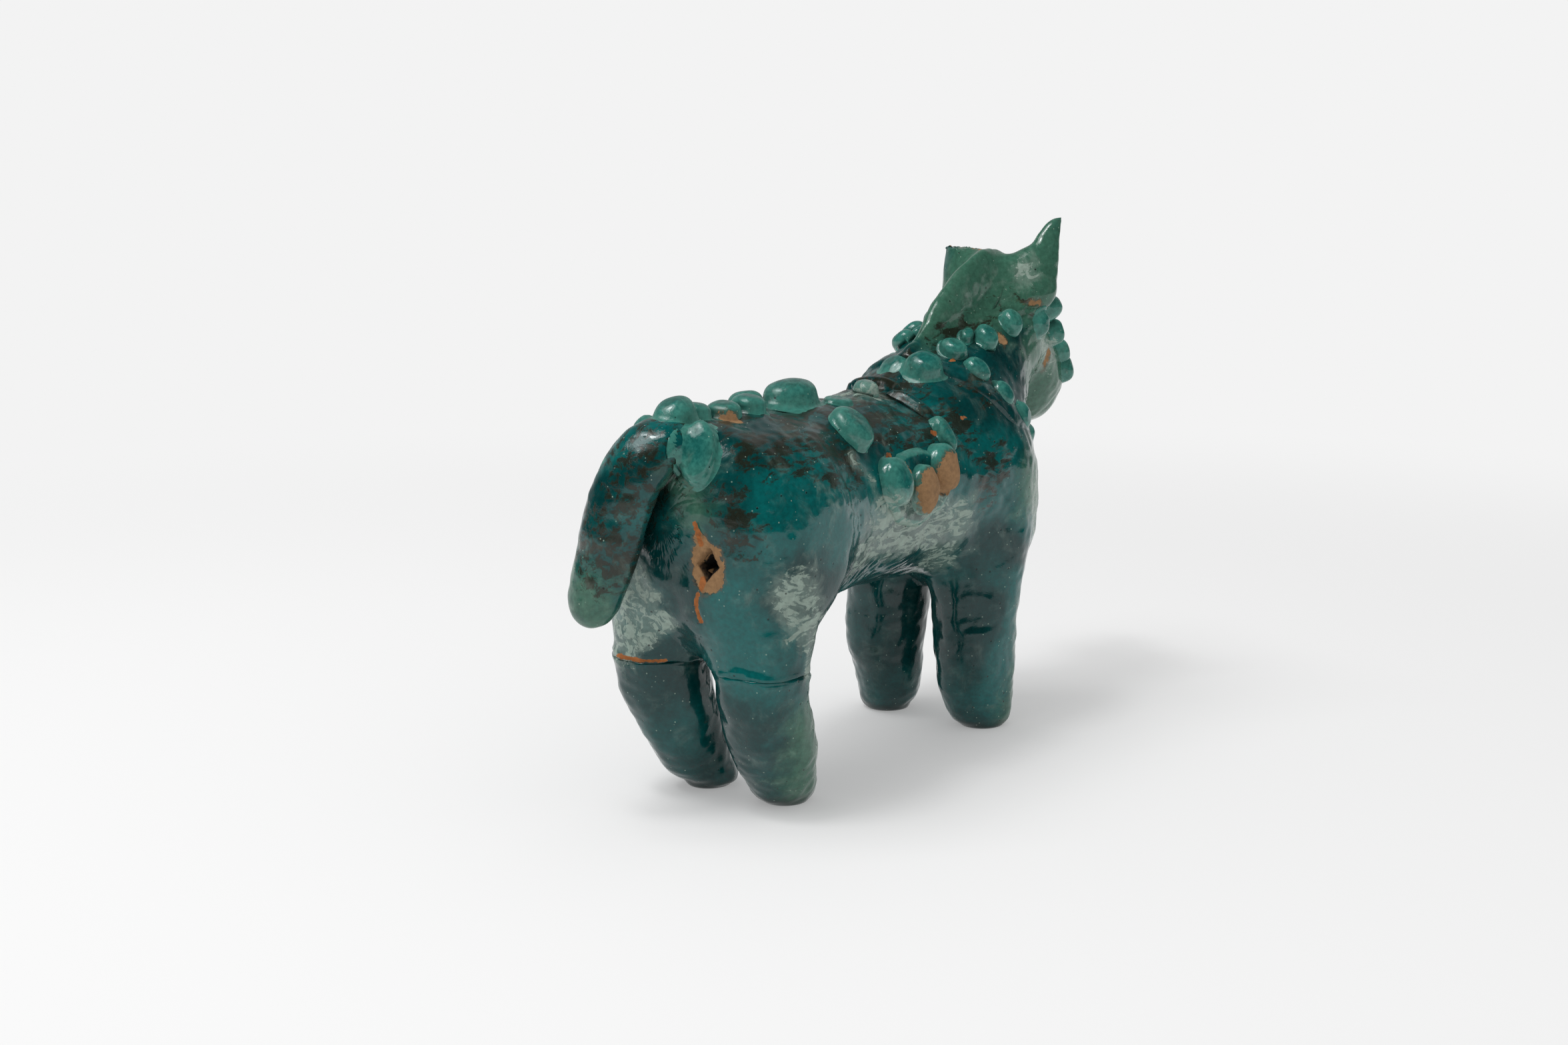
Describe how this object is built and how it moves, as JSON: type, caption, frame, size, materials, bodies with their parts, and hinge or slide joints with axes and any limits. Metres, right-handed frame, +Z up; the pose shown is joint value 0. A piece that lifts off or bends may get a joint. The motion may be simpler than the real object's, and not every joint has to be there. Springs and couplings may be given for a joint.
{
  "type": "animal-shaped pouring vessel",
  "caption": "Hollow glazed ceramic animal with a pouring mouth, upright mane, hanging tail and pressed-on clay pellet harness.",
  "frame": {"origin": "on the ground, under the middle of the whole length and width", "axes": "+X from tail to head, +Y to the animal's left, +Z up"},
  "size_m": [0.2774, 0.08, 0.1855],
  "materials": {
    "glazed_clay": "gloss glaze over fired clay"
  },
  "bodies": {
    "root": {"back_boss": "glazed_clay", "body_shell": "glazed_clay", "bridle_link_left": "glazed_clay", "bridle_link_right": "glazed_clay", "bridle_pellets_left": "glazed_clay", "bridle_pellets_right": "glazed_clay", "collar_band": "glazed_clay", "collar_boss_left": "glazed_clay", "collar_boss_right": "glazed_clay", "collar_pellets_left": "glazed_clay", "collar_pellets_right": "glazed_clay", "crupper_left": "glazed_clay", "crupper_right": "glazed_clay", "ear_left_stub": "glazed_clay", "ear_right": "glazed_clay", "eye_left": "glazed_clay", "eye_right": "glazed_clay", "foreleg_left": "glazed_clay", "foreleg_right": "glazed_clay", "head_shell": "glazed_clay", "hind_leg_left": "glazed_clay", "hind_leg_right": "glazed_clay", "loin_pellet": "glazed_clay", "mane_crest": "glazed_clay", "mouth_spout": "glazed_clay", "neck_tube": "glazed_clay", "pommel_pellet": "glazed_clay", "saddle_bosses_left": "glazed_clay", "saddle_bosses_right": "glazed_clay", "saddle_flap_left": "glazed_clay", "saddle_flap_right": "glazed_clay", "saddle_pommel": "glazed_clay", "saddle_strap_left": "glazed_clay", "saddle_strap_right": "glazed_clay", "spine_pellets": "glazed_clay", "tail": "glazed_clay", "tail_root_pellet": "glazed_clay"}
  },
  "joints": []
}
